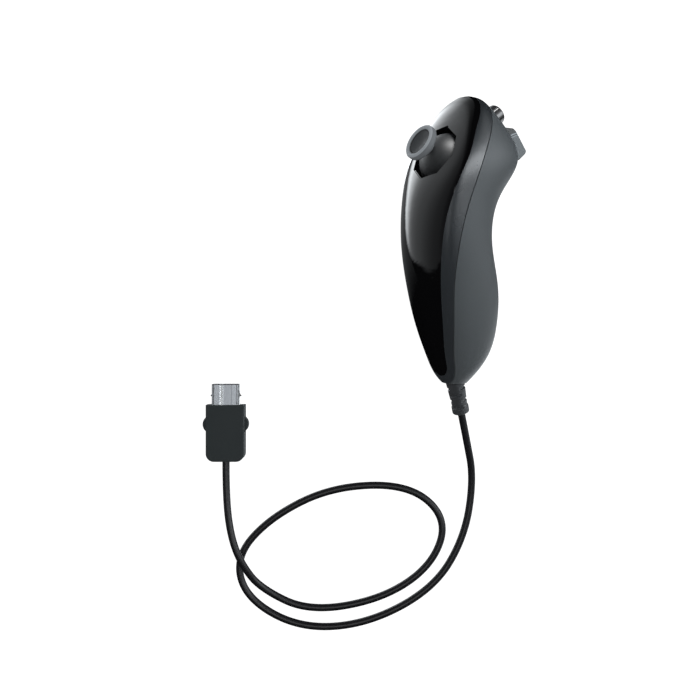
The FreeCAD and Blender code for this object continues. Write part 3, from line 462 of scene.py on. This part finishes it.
class Palette:
    """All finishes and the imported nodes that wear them."""

    FINISHES: tuple[Finish, ...] = (
        Finish("gloss_black_cover", "gloss_black", (0.003, 0.003, 0.0034), 0.04, depth=2e-7,
               grain=0.002, tone=0.05, wander=0.02),
        Finish("satin_slate_band", "satin_slate", (0.025, 0.029, 0.033), 0.28, depth=6e-7),
        Finish("matte_slate_shell", "matte_slate", SHELL_GREY, 0.5, grain=0.0003, depth=3e-6,
               tone=0.08, specular=0.36),
        # Trigger plastic with painted light and shade in bands.
        BandedFinish("trigger_slate_painted_light", "trigger_slate_painted_light", SHELL_GREY, 0.45, grain=0.0003, depth=3e-6,
                     tone=0.08, specular=0.3, bands=(
                         # Painted shade over the trigger's top.
                         Band(ACROSS_TRIGGER, 39.8, 4.0, 0.15, 0.2),
                         # Painted highlights of two ridges, with a painted shadow line between them.
                         Band(ACROSS_TRIGGER, 35.4, 0.14, 0.12, 2.8),
                         Band(ACROSS_TRIGGER, 34.6, 0.12, 0.12, 2.4),
                         Band(ACROSS_TRIGGER, 35.0, 0.1, 0.1, 0.3))),
        # Cap grey, scaled by the painted light and shade that the cap's points carry.
        ShadePaintedFinish("thumb_grip_grey", "thumb_grey", (0.155, 0.168, 0.18), 0.55, grain=0.0003,
                     depth=5e-6, specular=0.05),
        Finish("dome_black", "dome_black", (0.01, 0.011, 0.012), 0.48, depth=1.5e-6),
        Finish("button_gloss_black", "button_black", (0.012, 0.012, 0.013), 0.16, depth=4e-7),
        Finish("boot_rubber", "boot_black", (0.035, 0.038, 0.042), 0.5, depth=5e-6),
        Finish("cord_jacket", "cord_black", (0.005, 0.005, 0.006), 0.42, grain=0.0006, depth=5e-6,
               specular=0.2),
        Finish("plug_slate", "plug_slate", (0.034, 0.04, 0.042), 0.65, grain=0.00025, depth=3e-6,
               specular=0.06),
        DrawnMetal("plug_nickel", "plug_metal", (0.4, 0.413, 0.435), 0.24, grain=0.0002,
                   depth=1.2e-6, metallic=0.8, bands=(
                       # Painted highlight strip where the shell's fold mirrors a light.
                       Band(ACROSS_X, -97.95, 0.6, 0.12, 2.45),
                       # Dark line of the shell's seam.
                       Band(ACROSS_X, -94.0, 0.16, 0.3, 0.72),
                       # Painted shade that dims the light mirrored in the rounded edge.
                       Band(ACROSS_X, -91.2, 0.6, 0.3, 0.5),
                       # Slight painted shade over the shell's fold beside the highlight strip.
                       Band(ACROSS_X, -96.0, 0.9, 0.9, 0.92),
                       # Painted dark reflection along the shell's edge.
                       Band(ACROSS_Y, -50.35, 0.34, 0.12, 0.16))),
        Finish("tongue_black", "tongue_black", (0.02, 0.02, 0.021), 0.45),
        Finish("contact_gold", "contact_gold", (0.83, 0.62, 0.28), 0.25, metallic=1.0, depth=5e-7),
        Finish("board_green", "board_green", (0.03, 0.14, 0.07), 0.35, patch=0.003, tone=0.4),
        Finish("chip_black", "chip_black", (0.025, 0.025, 0.026), 0.5),
        Finish("part_tan", "part_tan", (0.12, 0.095, 0.065), 0.45, tone=0.3),
        Finish("connector_white", "connector_white", (0.75, 0.74, 0.7), 0.45),
        Finish("wire_white", "wire_white", (0.7, 0.69, 0.67), 0.4),
        Finish("plain_steel", "steel", (0.5, 0.5, 0.51), 0.3, metallic=1.0, depth=8e-7),
        Finish("pad_grey", "pad_grey", (0.3, 0.3, 0.31), 0.6),
    )

    def __init__(self, effects: SurfaceEffects) -> None:
        """Builds the material of each finish under its slot's name."""
        self.materials = {finish.slot: finish.material(effects) for finish in self.FINISHES}

    def dress(self, piece: bpy.types.Object, slot: str) -> None:
        """Puts the slot's material on every face of a piece."""
        piece.data.materials.clear()
        piece.data.materials.append(self.materials[slot])

    def dress_packed_nodes(self) -> None:
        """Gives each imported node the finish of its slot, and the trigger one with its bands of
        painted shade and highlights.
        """
        for part in frame["record"]["subparts"]:
            self.dress(frame["nodes"][part["node"]], part["material_slot"])
        self.dress(frame["nodes"]["trigger"], "trigger_slate_painted_light")


# ---------------------------------------------------------------- sub-assemblies


@dataclass(frozen=True)
class RestingController:
    """How the controller lies on the table: own +y to the nose, own +z out of the stick's face."""

    roll: float = 56.0
    pitch: float = 6.0
    place: Point = (-4.4, 6.4, 19.851)

    def axes(self) -> Axes:
        """Own axes on the table, in millimetres."""
        turn = turn_about_x(math.radians(self.pitch)) @ turn_about_y(math.radians(-self.roll))
        return Axes(np.array(self.place), turn)


class Assembly:
    """A group of new pieces that share axes and finishes."""

    def __init__(self, palette: Palette, controller: Axes) -> None:
        """Keeps the finishes and the controller's axes."""
        self.palette = palette
        self.controller = controller

    def add(self, name: str, body: Body, slot: str, own: Axes, points: np.ndarray,
            faces: np.ndarray, *nodes: str, sharp: float = EDGE_DEG) -> bpy.types.Object:
        """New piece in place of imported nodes.

        Args:
            name: Name of the piece.
            body: Body that it rides on.
            slot: Material slot of its finish.
            own: Axes of the points.
            points: Vertices in millimetres in those axes.
            faces: Faces of the piece.
            *nodes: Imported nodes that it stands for.
            sharp: Angle above which an edge stays sharp.

        Returns:
            The piece.
        """
        piece = make_piece(name, own.put(points) * MM, faces, sharp)
        self.palette.dress(piece, slot)
        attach(piece, body.value)
        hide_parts(*nodes)
        LOG.info("%s: %d faces", name, len(piece.data.polygons))
        return piece


@dataclass
class ThumbStick:
    """Thumb cap of the stick, in the stick's axes from its pivot.

    Lengths are in millimetres; the levels of painted light and shade (a lit rim, a shaded dish and a
    painted shadow line round it) are factors of the cap's colour.
    """

    lean: float = 27.0
    mouth: tuple[float, float] = (34.013, 10.1)
    mouth_height: float = 7.5
    neck_radius: float = 3.0
    neck_foot: float = 11.0
    base: float = 13.5
    radius: float = 7.15
    thickness: float = 3.2
    underside_fall: float = 0.1
    lower_edge: tuple[float, float] = (0.5, 0.6)
    dish: float = 5.15
    dish_depth: float = 0.8
    dish_inset: float = 0.5
    rim_height: float = 0.8
    rim_stop: float = 0.12
    groove: float = 0.1
    groove_steps: tuple[float, ...] = (0.02, -0.2, -0.32)
    # Painted light and shade on the cap: a lit rim, the plain side, a shaded dish and a painted
    # shadow line round the dish.
    rim_painted_light: float = 2.05
    side_plain_level: float = 1.0
    dish_painted_shade: float = 0.3
    dish_painted_shadow_line: float = 0.08
    rim_from: float = 0.2
    slack: float = 0.1
    shadow_line_inset: float = 0.15
    shadow_line_half: float = 0.22

    def axes(self, controller: Axes) -> Axes:
        """Axes of the stick: z along the stick, x across the controller."""
        angle = math.radians(self.lean)
        along = np.array([0.0, math.sin(angle), math.cos(angle)])
        origin = np.array([0.0, *self.mouth]) - along * self.mouth_height
        return Axes(origin, turn_about_x(-angle)).inside(controller)

    def cap_outline(self) -> np.ndarray:
        """Half section of the cap: neck, rounded underside, side, rim, fine groove and dish.

        The rim is an arc over its chord and the dish an arc under its own: height s above the
        chord of half width w at offset d is s (1 - (d / w)^2), close to a circle when s is small.
        """
        top = self.base + self.thickness
        lip = top - self.rim_height
        below = rounded_outline([
            (0.0, self.neck_foot, 0.0), (self.neck_radius, self.neck_foot, 0.0),
            (self.neck_radius, self.base - self.underside_fall, 0.5),
            (self.radius - self.lower_edge[0], self.base, 0.3),
            (self.radius, self.base + self.lower_edge[1], 0.5), (self.radius, lip, 0.0)])
        half, middle = (self.radius - self.dish) / 2, (self.radius + self.dish) / 2
        across = np.linspace(-half, half - self.rim_stop, 22)
        swell = self.rim_height * (1 - (across / half) ** 2)
        rim = np.stack([middle - across, lip + swell], axis=1)
        trough = np.array([(self.dish + step, lip - self.groove) for step in self.groove_steps])
        inner = np.linspace(self.dish - self.dish_inset, 0.0, 26)
        bowl = np.stack([inner, lip - self.dish_depth * (1 - (inner / self.dish) ** 2)], axis=1)
        return np.vstack([below[:-1], rim, trough, bowl])

    def painted_light_and_shade(self, cap: bpy.types.Object, own: Axes) -> None:
        """Paints light and shade onto the cap's points: a painted highlight on the rim, a darker
        side, painted shade in the dish and a darker painted shadow line round it.

        Args:
            cap: The cap's mesh object.
            own: Axes that its points were made in.
        """
        spots = np.empty(3 * len(cap.data.vertices))
        cap.data.vertices.foreach_get("co", spots)
        local = (spots.reshape(-1, 3) / MM - own.origin) @ own.basis
        radius = np.hypot(local[:, 0], local[:, 1])
        above_lip = local[:, 2] - (self.base + self.thickness - self.rim_height)
        # Painted highlight on the rim above the lip; the side keeps the plain colour.
        value = np.where(above_lip > self.rim_from, self.rim_painted_light, self.side_plain_level)
        in_dish = (radius < self.dish - self.slack) & (above_lip > -self.dish_depth - self.slack)
        # Painted shade in the dish.
        value[in_dish] = self.dish_painted_shade
        off_line = np.abs(radius - self.dish + self.shadow_line_inset)
        # Painted shadow line round the dish.
        value[(off_line < self.shadow_line_half) & (above_lip > -self.shadow_line_inset)] = self.dish_painted_shadow_line
        mark = cap.data.attributes.new("painted_light_and_shade", "FLOAT", "POINT")
        mark.data.foreach_set("value", value)

    def build(self, work: Assembly) -> None:
        """Builds the cap on the stick's body."""
        grid, own = turned_surface(self.cap_outline(), around=128), self.axes(work.controller)
        cap = work.add("thumb_grip", Body.STICK, "thumb_grey", own, grid,
                       grid_faces(*grid.shape[:2], True), "thumb_cap", sharp=FINE_EDGE_DEG)
        self.painted_light_and_shade(cap, own)


@dataclass
class RoundButton:
    """Small domed button at the nose, in its own axes: z points out of the shell."""

    at: tuple[float, float] = (48.703, -18.1)
    slant: float = 56.0
    radius: float = 4.1
    proud: float = 4.8
    shoulder: float = 0.35
    crown: tuple[float, float] = (0.6, 0.1)
    flange_radius: float = 5.0
    flange_top: float = -4.4
    flange: float = 1.0

    def axes(self, controller: Axes) -> Axes:
        """Axes of the button."""
        turn = turn_about_x(math.radians(-90.0 - self.slant))
        return Axes(np.array([0.0, *self.at]), turn).inside(controller)

    def build(self, work: Assembly) -> None:
        """Builds the button on its body."""
        low = self.flange_top - self.flange
        outline = rounded_outline([
            (0.0, low, 0.0), (self.flange_radius, low, 0.2),
            (self.flange_radius, self.flange_top, 0.2), (self.radius, self.flange_top, 0.2),
            (self.radius, self.proud - self.shoulder, 1.2),
            (self.radius * self.crown[0], self.proud - self.crown[1], 1.0),
            (0.0, self.proud, 0.0)], steps=10)
        grid = turned_surface(outline)
        work.add("nose_button", Body.ROUND_BUTTON, "button_black", self.axes(work.controller), grid,
                 grid_faces(*grid.shape[:2], True), "round_button")


@dataclass
class StrainRelief:
    """Flexible boot at the tail, in its own axes: z runs outwards from the shell."""

    base: tuple[float, float] = (-55.8, -1.4)
    tip: tuple[float, float] = (-69.1, -4.9)
    root_radius: float = 3.8
    neck_radius: float = 3.15
    collar_radius: float = 3.45
    collar: float = 3.8
    collar_slope: tuple[float, float] = (-0.1, 0.7)
    rounding: float = 1.0
    core: float = 2.9
    slot: float = 1.2
    slot_floor: float = 0.3
    slot_lip: float = 0.56
    step: float = 2.6
    slots: int = 4
    web: float = 2.2
    web_slope: float = 1.1
    turn: float = -32.0
    seat_depth: float = 1.6
    rows: int = 200
    end_rows: int = 14
    end_from: float = 0.1
    around: int = 132

    def axes(self, controller: Axes) -> Axes:
        """Axes of the boot."""
        along = np.array([0.0, self.tip[0] - self.base[0], self.tip[1] - self.base[1]])
        along /= np.linalg.norm(along)
        turn = turn_about_x(math.acos(along[2]))
        return Axes(np.array([0.0, *self.base]), turn).inside(controller)

    def length(self) -> float:
        """Length of the boot outside the shell."""
        return math.hypot(self.tip[0] - self.base[0], self.tip[1] - self.base[1])

    def surface(self) -> np.ndarray:
        """Grid of the boot: radius as a function of height z and angle a.

        The body tapers evenly to its neck and swells to a collar whose end is a quarter round.
        Slot k, at z = step k, sinks to the core except at two webs, where r |sin(a - turn)| is
        less than the web; the webs turn by a quarter from slot to slot. A slot's floor and lip
        are the shares of its width at which its side begins and ends.
        """
        length, end = self.length(), self.rounding
        quarter = np.linspace(self.end_from, 0.5 * math.pi, self.end_rows)
        z = np.concatenate([np.linspace(-self.seat_depth, length - end, self.rows),
                            length - end + end * np.sin(quarter)])
        angle = np.linspace(0.0, 2.0 * math.pi, self.around, endpoint=False)[:, None]
        taper = np.clip(z / (length - self.collar), 0.0, 1.0)
        profile = self.root_radius + (self.neck_radius - self.root_radius) * taper
        foot = length - self.collar
        swell = ramp(z, foot + self.collar_slope[0], foot + self.collar_slope[1])
        profile = profile + (self.collar_radius - self.neck_radius) * swell
        past = np.clip((z - length + end) / end, 0.0, 1.0)
        profile = profile - end * (1.0 - np.sqrt(1.0 - past**2))
        radius = np.broadcast_to(profile[None], (len(angle), len(z)))
        for k in range(1, self.slots + 1):
            inside = 1.0 - ramp(np.abs(z - self.step * k), self.slot_floor * self.slot,
                                self.slot_lip * self.slot)
            web_angle = math.radians(self.turn + 90.0 * (k % 2))
            across = self.root_radius * np.abs(np.sin(angle - web_angle))
            open_side = ramp(across, self.web, self.web + self.web_slope)
            radius = radius - (radius - self.core) * inside[None] * open_side
        flat = np.broadcast_to(z[None], radius.shape)
        return np.stack([radius * np.cos(angle), radius * np.sin(angle), flat], axis=-1)

    def build(self, work: Assembly) -> None:
        """Builds the boot on the controller's body, closed by a flat end on each side."""
        grid = self.surface()
        low, high = grid[:, :1] * [0.0, 0.0, 1.0], grid[:, -1:] * [0.0, 0.0, 1.0]
        grid = np.concatenate([low, grid, high], axis=1)
        work.add("cord_boot", Body.CONTROLLER, "boot_black", self.axes(work.controller), grid,
                 grid_faces(*grid.shape[:2], True), "strain_relief", sharp=FINE_EDGE_DEG)

    def tip_point(self, controller: Axes, beyond: float = 0.0) -> Point:
        """Point on the cord's line at a distance beyond the tip, in millimetres."""
        own = self.axes(controller)
        return tuple(own.put(np.array([0.0, 0.0, self.length() + beyond])))


@dataclass
class Cord:
    """Cord from the boot to the plug: one smooth line over the table."""

    diameter: float = 3.0
    length: float = 431.0
    first_run: float = 11.0
    plug_back: Point = (-96.5, -82.1, 4.7)
    route: tuple[Point, ...] = (
        (5.7, -89.5, 2.2), (2.1, -114.0, 1.55), (-10.7, -135.3, 1.55), (-38.2, -150.1, 1.55),
        (-66.3, -152.0, 1.55), (-88.7, -139.4, 1.55), (-92.9, -122.1, 1.55),
        (-78.5, -105.9, 1.55), (-53.0, -93.1, 1.55), (-21.0, -92.1, 1.55),
        (-4.9, -106.5, 1.55), (-11.5, -126.0, 1.55), (-32.5, -139.9, 1.55),
        (-62.5, -145.0, 1.55), (-82.5, -134.9, 3.2), (-89.9, -123.7, 8.0),
        (-94.1, -112.7, 8.0), (-96.5, -97.5, 4.7))

    def build(self, work: Assembly, boot: StrainRelief) -> None:
        """Lays the cord along its control points, from the boot's tip to the back of the plug.

        Args:
            work: Finishes and axes.
            boot: Strain relief that the cord leaves.
        """
        start = boot.tip_point(work.controller)
        ends = [start, boot.tip_point(work.controller, self.first_run)]
        points = np.array([*ends, *self.route, self.plug_back]) * MM
        curve = bpy.data.curves.new("cord_line", "CURVE")
        curve.dimensions = "3D"
        spline = curve.splines.new("NURBS")
        spline.points.add(len(points) - 1)
        spline.points.foreach_set("co", np.hstack([points, np.ones((len(points), 1))]).ravel())
        spline.order_u = 3
        spline.use_endpoint_u = True
        spline.resolution_u = 16
        curve.bevel_depth = self.diameter / 2 * MM
        curve.bevel_resolution = 8
        curve.use_fill_caps = True
        line = bpy.data.objects.new("cord_line", curve)
        bpy.context.scene.collection.objects.link(line)
        work.palette.dress(line, "cord_black")
        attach(line, Body.CONTROLLER.value)
        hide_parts("cord")
        LOG.info("cord_line: %d control points", len(points))


# ---------------------------------------------------------------- table, lights, camera


@dataclass(frozen=True)
class SoftCard:
    """Curved glowing sheet far round the object, which only gloss sees.

    Bearings turn from -x (0 degrees) to +y (90 degrees); heights are angles above the table top.
    Each pair is a bearing with a height or a share, or a height with a brightness.
    """

    name: str
    low: tuple[tuple[float, float], ...]
    high: tuple[tuple[float, float], ...]
    glow: tuple[tuple[float, float], ...]
    sides: tuple[tuple[float, float], ...]
    fade: float = 0.0
    radius: float = 2.5

    def surface(self, columns: int = 150, rows: int = 160) -> tuple[np.ndarray, np.ndarray]:
        """Grid of the sheet and its brightness.

        The point at bearing b and height h is R (-cos h cos b, cos h sin b, sin h), with h from
        the low to the high line at b. The brightness is exp of the straight line between the
        logs of the glow's pairs, times the share of the sides at b, and it rises from nothing over
        the fade's degrees above the low line.

        Args:
            columns: Steps of the bearing.
            rows: Steps of the height.

        Returns:
            Points of shape (columns, rows, 3) and one brightness for each.
        """
        bearing = np.linspace(self.low[0][0], self.low[-1][0], columns)
        low, high = np.interp(bearing, *zip(*self.low)), np.interp(bearing, *zip(*self.high))
        height = low[:, None] + (high - low)[:, None] * np.linspace(0.0, 1.0, rows)
        heights, glows = zip(*self.glow)
        glow = np.exp(np.interp(height, heights, np.log(glows)))
        glow = glow * np.interp(bearing, *zip(*self.sides))[:, None]
        if self.fade:
            glow = glow * ramp(height - low[:, None], 0.0, self.fade)
        b, h = np.radians(bearing)[:, None], np.radians(height)
        points = np.stack([-np.cos(h) * np.cos(b), np.cos(h) * np.sin(b), np.sin(h)], axis=-1)
        return self.radius * points, glow


@dataclass(frozen=True)
class SoftLight:
    """Area light that looks at a target, in metres, and lights all or only the pieces named."""

    name: str
    at: Point
    target: Point
    size: tuple[float, float]
    power: float
    only: tuple[str, ...] = ()


@dataclass
class Studio:
    """White table and wall, soft lights, cards that only gloss sees, and the camera."""

    camera_at: Point = (-0.0455, -0.0365, 0.400)
    lens: float = 49.42
    floor_half: float = 3.0
    floor_drop: float = 0.0002
    floor_grey: float = 0.35
    floor_glow: float = 0.97
    wall_steps: int = 72
    world_strength: float = 0.35
    white: Colour = (1.0, 1.0, 1.0)
    cool_white: Colour = (0.93, 0.97, 1.0)

    LIGHTS = (
        SoftLight("overhead", (0.15, 0.1, 1.0), (-0.01, 0.0, 0.0), (0.5, 0.7), 4.0),
        SoftLight("cap_kicker", (0.65, 0.3, 0.4), (0.0, 0.04, 0.03), (0.3, 0.3), 2.2,
                  ("thumb_grip",)),
        SoftLight("nose_kicker", (0.14, 0.78, 0.42), (0.0, 0.04, 0.03), (0.4, 0.4), 13.0,
                  ("nose_button", "stick_dome", "trigger")),
        SoftLight("cord_shine", (-0.05, -0.1, 0.9), (-0.05, -0.11, 0.0), (0.12, 0.12), 2.5,
                  ("cord_line",)),
    )
    CARDS = (
        SoftCard("left_softbox",
                 ((-46, 71), (-36, 53), (-31, 43), (-24, 29), (-19, 16), (-15, 6), (-11, -3),
                  (-8, -14), (-6, -22), (-2, -32), (4, -39), (10, -43), (20, -46), (42, -47.5),
                  (47, -62), (52, -79), (90, -80)),
                 ((-46, 78), (90, 78)),
                 ((-80, 9), (-43, 8), (-38, 6.2), (-31, 3.3), (-26, 1.6), (-20, 1.1), (-10, 0.85),
                  (0, 0.75), (15, 0.47), (30, 0.3), (50, 0.22), (65, 0.1), (78, 0.05)),
                 ((-46, 0.9), (50, 1), (57, 0.78), (66, 0.3), (74, 0.19), (84, 0.15), (88, 0.001),
                  (90, 0)), fade=9.0),
        SoftCard("low_slate",
                 ((-14, -88), (46, -88)),
                 ((-14, -12), (-6, -24), (0, -32), (10, -42.7), (20, -46.2), (42, -47.7),
                  (46, -60)),
                 ((-88, 0.1), (-50, 0.2), (-12, 0.2)),
                 ((-14, 0), (-4, 0.7), (8, 1.2), (25, 2), (40, 2.2), (46, 0.2))),
        SoftCard("right_softbox",
                 ((126, -20), (226, -20)), ((126, 75), (226, 75)),
                 ((-20, 0.4), (0, 4), (15, 8.6), (60, 9), (75, 4.5)),
                 ((126, 0), (136, 0.12), (148, 0.24), (154, 0.9), (162, 1), (171, 1), (177, 0.35),
                  (186, 0.12), (200, 0.07), (226, 0))),
        SoftCard("right_low",
                 ((184, -85), (250, -85)), ((184, -2), (250, -2)),
                 ((-85, 2), (-30, 2.2), (-15, 1.2), (-2, 0.06)),
                 ((184, 0), (190, 1), (235, 1), (250, 0))),
        SoftCard("overhead_card",
                 ((-80, 73), (40, 73)), ((-80, 89), (40, 89)),
                 ((73, 0.7), (78, 2.25), (89, 2.25)), ((-80, 0), (-60, 1), (20, 1), (40, 0))),
    )

    def sheet_object(self, name: str, points: np.ndarray, faces: np.ndarray,
                     material: bpy.types.Material) -> bpy.types.Object:
        """Stage sheet through its points, in metres."""
        mesh = bpy.data.meshes.new(name)
        mesh.from_pydata(points.reshape(-1, 3).tolist(), [], faces.tolist())
        mesh.materials.append(material)
        sheet = bpy.data.objects.new(name, mesh)
        bpy.context.scene.collection.objects.link(sheet)
        return sheet

    @staticmethod
    def glow_material(name: str, colour: Colour, level: str = "") -> bpy.types.Material:
        """Material that only glows.

        Args:
            name: Name of the material.
            colour: Colour of its light.
            level: Attribute that holds its strength; without it the strength is 1.

        Returns:
            The material.
        """
        material = bpy.data.materials.new(name)
        material.use_nodes = True
        material.node_tree.nodes.clear()
        sheet = ShaderSheet(material.node_tree)
        strength: bpy.types.NodeSocket | float = 1.0
        if level:
            strength = sheet.add("ShaderNodeAttribute", attribute_name=level).outputs["Fac"]
        glow = sheet.add("ShaderNodeEmission", {"Color": (*colour, 1.0), "Strength": strength})
        sheet.add("ShaderNodeOutputMaterial", {"Surface": glow.outputs[0]})
        material.cycles.emission_sampling = "NONE"
        return material

    def floor(self) -> None:
        """White table top that the gloss doesn't mirror."""
        half = self.floor_half
        corners = np.array([[x, y, -self.floor_drop] for x, y in (
            (-half, -half), (half, -half), (half, half), (-half, half))])
        material = bpy.data.materials.new("table_white")
        material.use_nodes = True
        shader = material.node_tree.nodes["Principled BSDF"]
        shader.inputs["Base Color"].default_value = (*[self.floor_grey] * 3, 1.0)
        shader.inputs["Roughness"].default_value = 0.9
        shader.inputs["Specular IOR Level"].default_value = 0.0
        shader.inputs["Emission Color"].default_value = (*self.white, 1.0)
        shader.inputs["Emission Strength"].default_value = self.floor_glow
        table = self.sheet_object("table", corners, np.array([[0, 1, 2, 3]]), material)
        table.visible_glossy = False

    def wall(self) -> None:
        """White wall round the table that only the camera sees."""
        angle = np.linspace(0.0, 2.0 * math.pi, self.wall_steps + 1)
        ring = np.stack([np.cos(angle), np.sin(angle), np.zeros(len(angle))], axis=-1)
        points = self.floor_half * np.stack([ring, ring + [0.0, 0.0, 1.0]], axis=1)
        wall = self.sheet_object("wall", points, grid_faces(*points.shape[:2], False),
                                 self.glow_material("wall_white", self.white))
        self.unseen(wall, "glossy")

    @staticmethod
    def unseen(sheet: bpy.types.Object, ray: str) -> None:
        """Hides a glowing sheet from all rays but camera and glossy ones, and from one of those.

        Args:
            sheet: The sheet.
            ray: Which of the two, "camera" or "glossy".
        """
        sheet.visible_diffuse = sheet.visible_shadow = False
        sheet.visible_transmission = sheet.visible_volume_scatter = False
        setattr(sheet, "visible_" + ray, False)

    def hang(self, card: SoftCard) -> None:
        """Hangs a card whose glow is read from its points."""
        points, strength = card.surface()
        hung = self.sheet_object(card.name, points, grid_faces(*points.shape[:2], False),
                                 self.glow_material(card.name, self.cool_white, "glow"))
        mark = hung.data.attributes.new("glow", "FLOAT", "POINT")
        mark.data.foreach_set("value", strength.ravel())
        self.unseen(hung, "camera")

    def area_light(self, given: SoftLight) -> None:
        """Soft area light that the camera doesn't see.

        A light for pieces of its own gives them highlights, and a light for all gives none.

        Args:
            given: Place, target, size, power and pieces of the light.
        """
        light = bpy.data.lights.new(given.name, "AREA")
        light.shape = "RECTANGLE"
        light.size, light.size_y = given.size
        light.energy = given.power
        lamp = bpy.data.objects.new(given.name, light)
        lamp.location = given.at
        way = np.array(given.target) - np.array(given.at)
        lamp.rotation_mode = "QUATERNION"
        lamp.rotation_quaternion = Vector(way).to_track_quat("-Z", "Y")
        lamp.visible_camera = False
        lamp.visible_glossy = bool(given.only)
        if given.only:
            lit = bpy.data.collections.new(given.name)
            for name in given.only:
                lit.objects.link(self.piece(name))
            lamp.light_linking.receiver_collection = lit
        bpy.context.scene.collection.objects.link(lamp)

    @staticmethod
    def piece(name: str) -> bpy.types.Object:
        """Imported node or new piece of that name."""
        return frame["nodes"].get(name) or bpy.data.objects[name]

    def world(self) -> None:
        """Even pale surroundings that the gloss doesn't mirror."""
        world = bpy.data.worlds.new("surroundings")
        world.use_nodes = True
        ground = world.node_tree.nodes["Background"]
        ground.inputs["Color"].default_value = (*self.white, 1.0)
        ground.inputs["Strength"].default_value = self.world_strength
        bpy.context.scene.world = world
        world.cycles_visibility.glossy = False

    def camera(self) -> None:
        """Camera straight above the table, with the photograph's frame."""
        camera = bpy.data.cameras.new("camera")
        camera.lens = self.lens
        camera.sensor_width = 36.0
        camera.clip_start = 0.01
        eye = bpy.data.objects.new("camera", camera)
        eye.location = self.camera_at
        bpy.context.scene.collection.objects.link(eye)
        bpy.context.scene.camera = eye

    def build(self) -> None:
        """Sets up everything around the object, and keeps small pieces out of the gloss."""
        self.camera()
        self.world()
        self.floor()
        self.wall()
        for card in self.CARDS:
            self.hang(card)
        for light in self.LIGHTS:
            self.area_light(light)
        plug = [name for name in frame["nodes"] if name.startswith("plug_")]
        for name in ("thumb_grip", "stick_dome", "cord_line", *plug):
            self.piece(name).visible_glossy = False
        bpy.context.scene.view_settings.view_transform = "Standard"


def main() -> None:
    """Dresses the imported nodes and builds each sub-assembly in turn."""
    logging.basicConfig(level=logging.INFO, format="%(name)s %(message)s")
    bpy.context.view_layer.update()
    palette = Palette(SurfaceEffects())
    palette.dress_packed_nodes()
    work = Assembly(palette, RestingController().axes())
    boot = StrainRelief()
    Cord().build(work, boot)
    boot.build(work)
    ThumbStick().build(work)
    RoundButton().build(work)
    Studio().build()


if __name__ == "__main__":
    main()
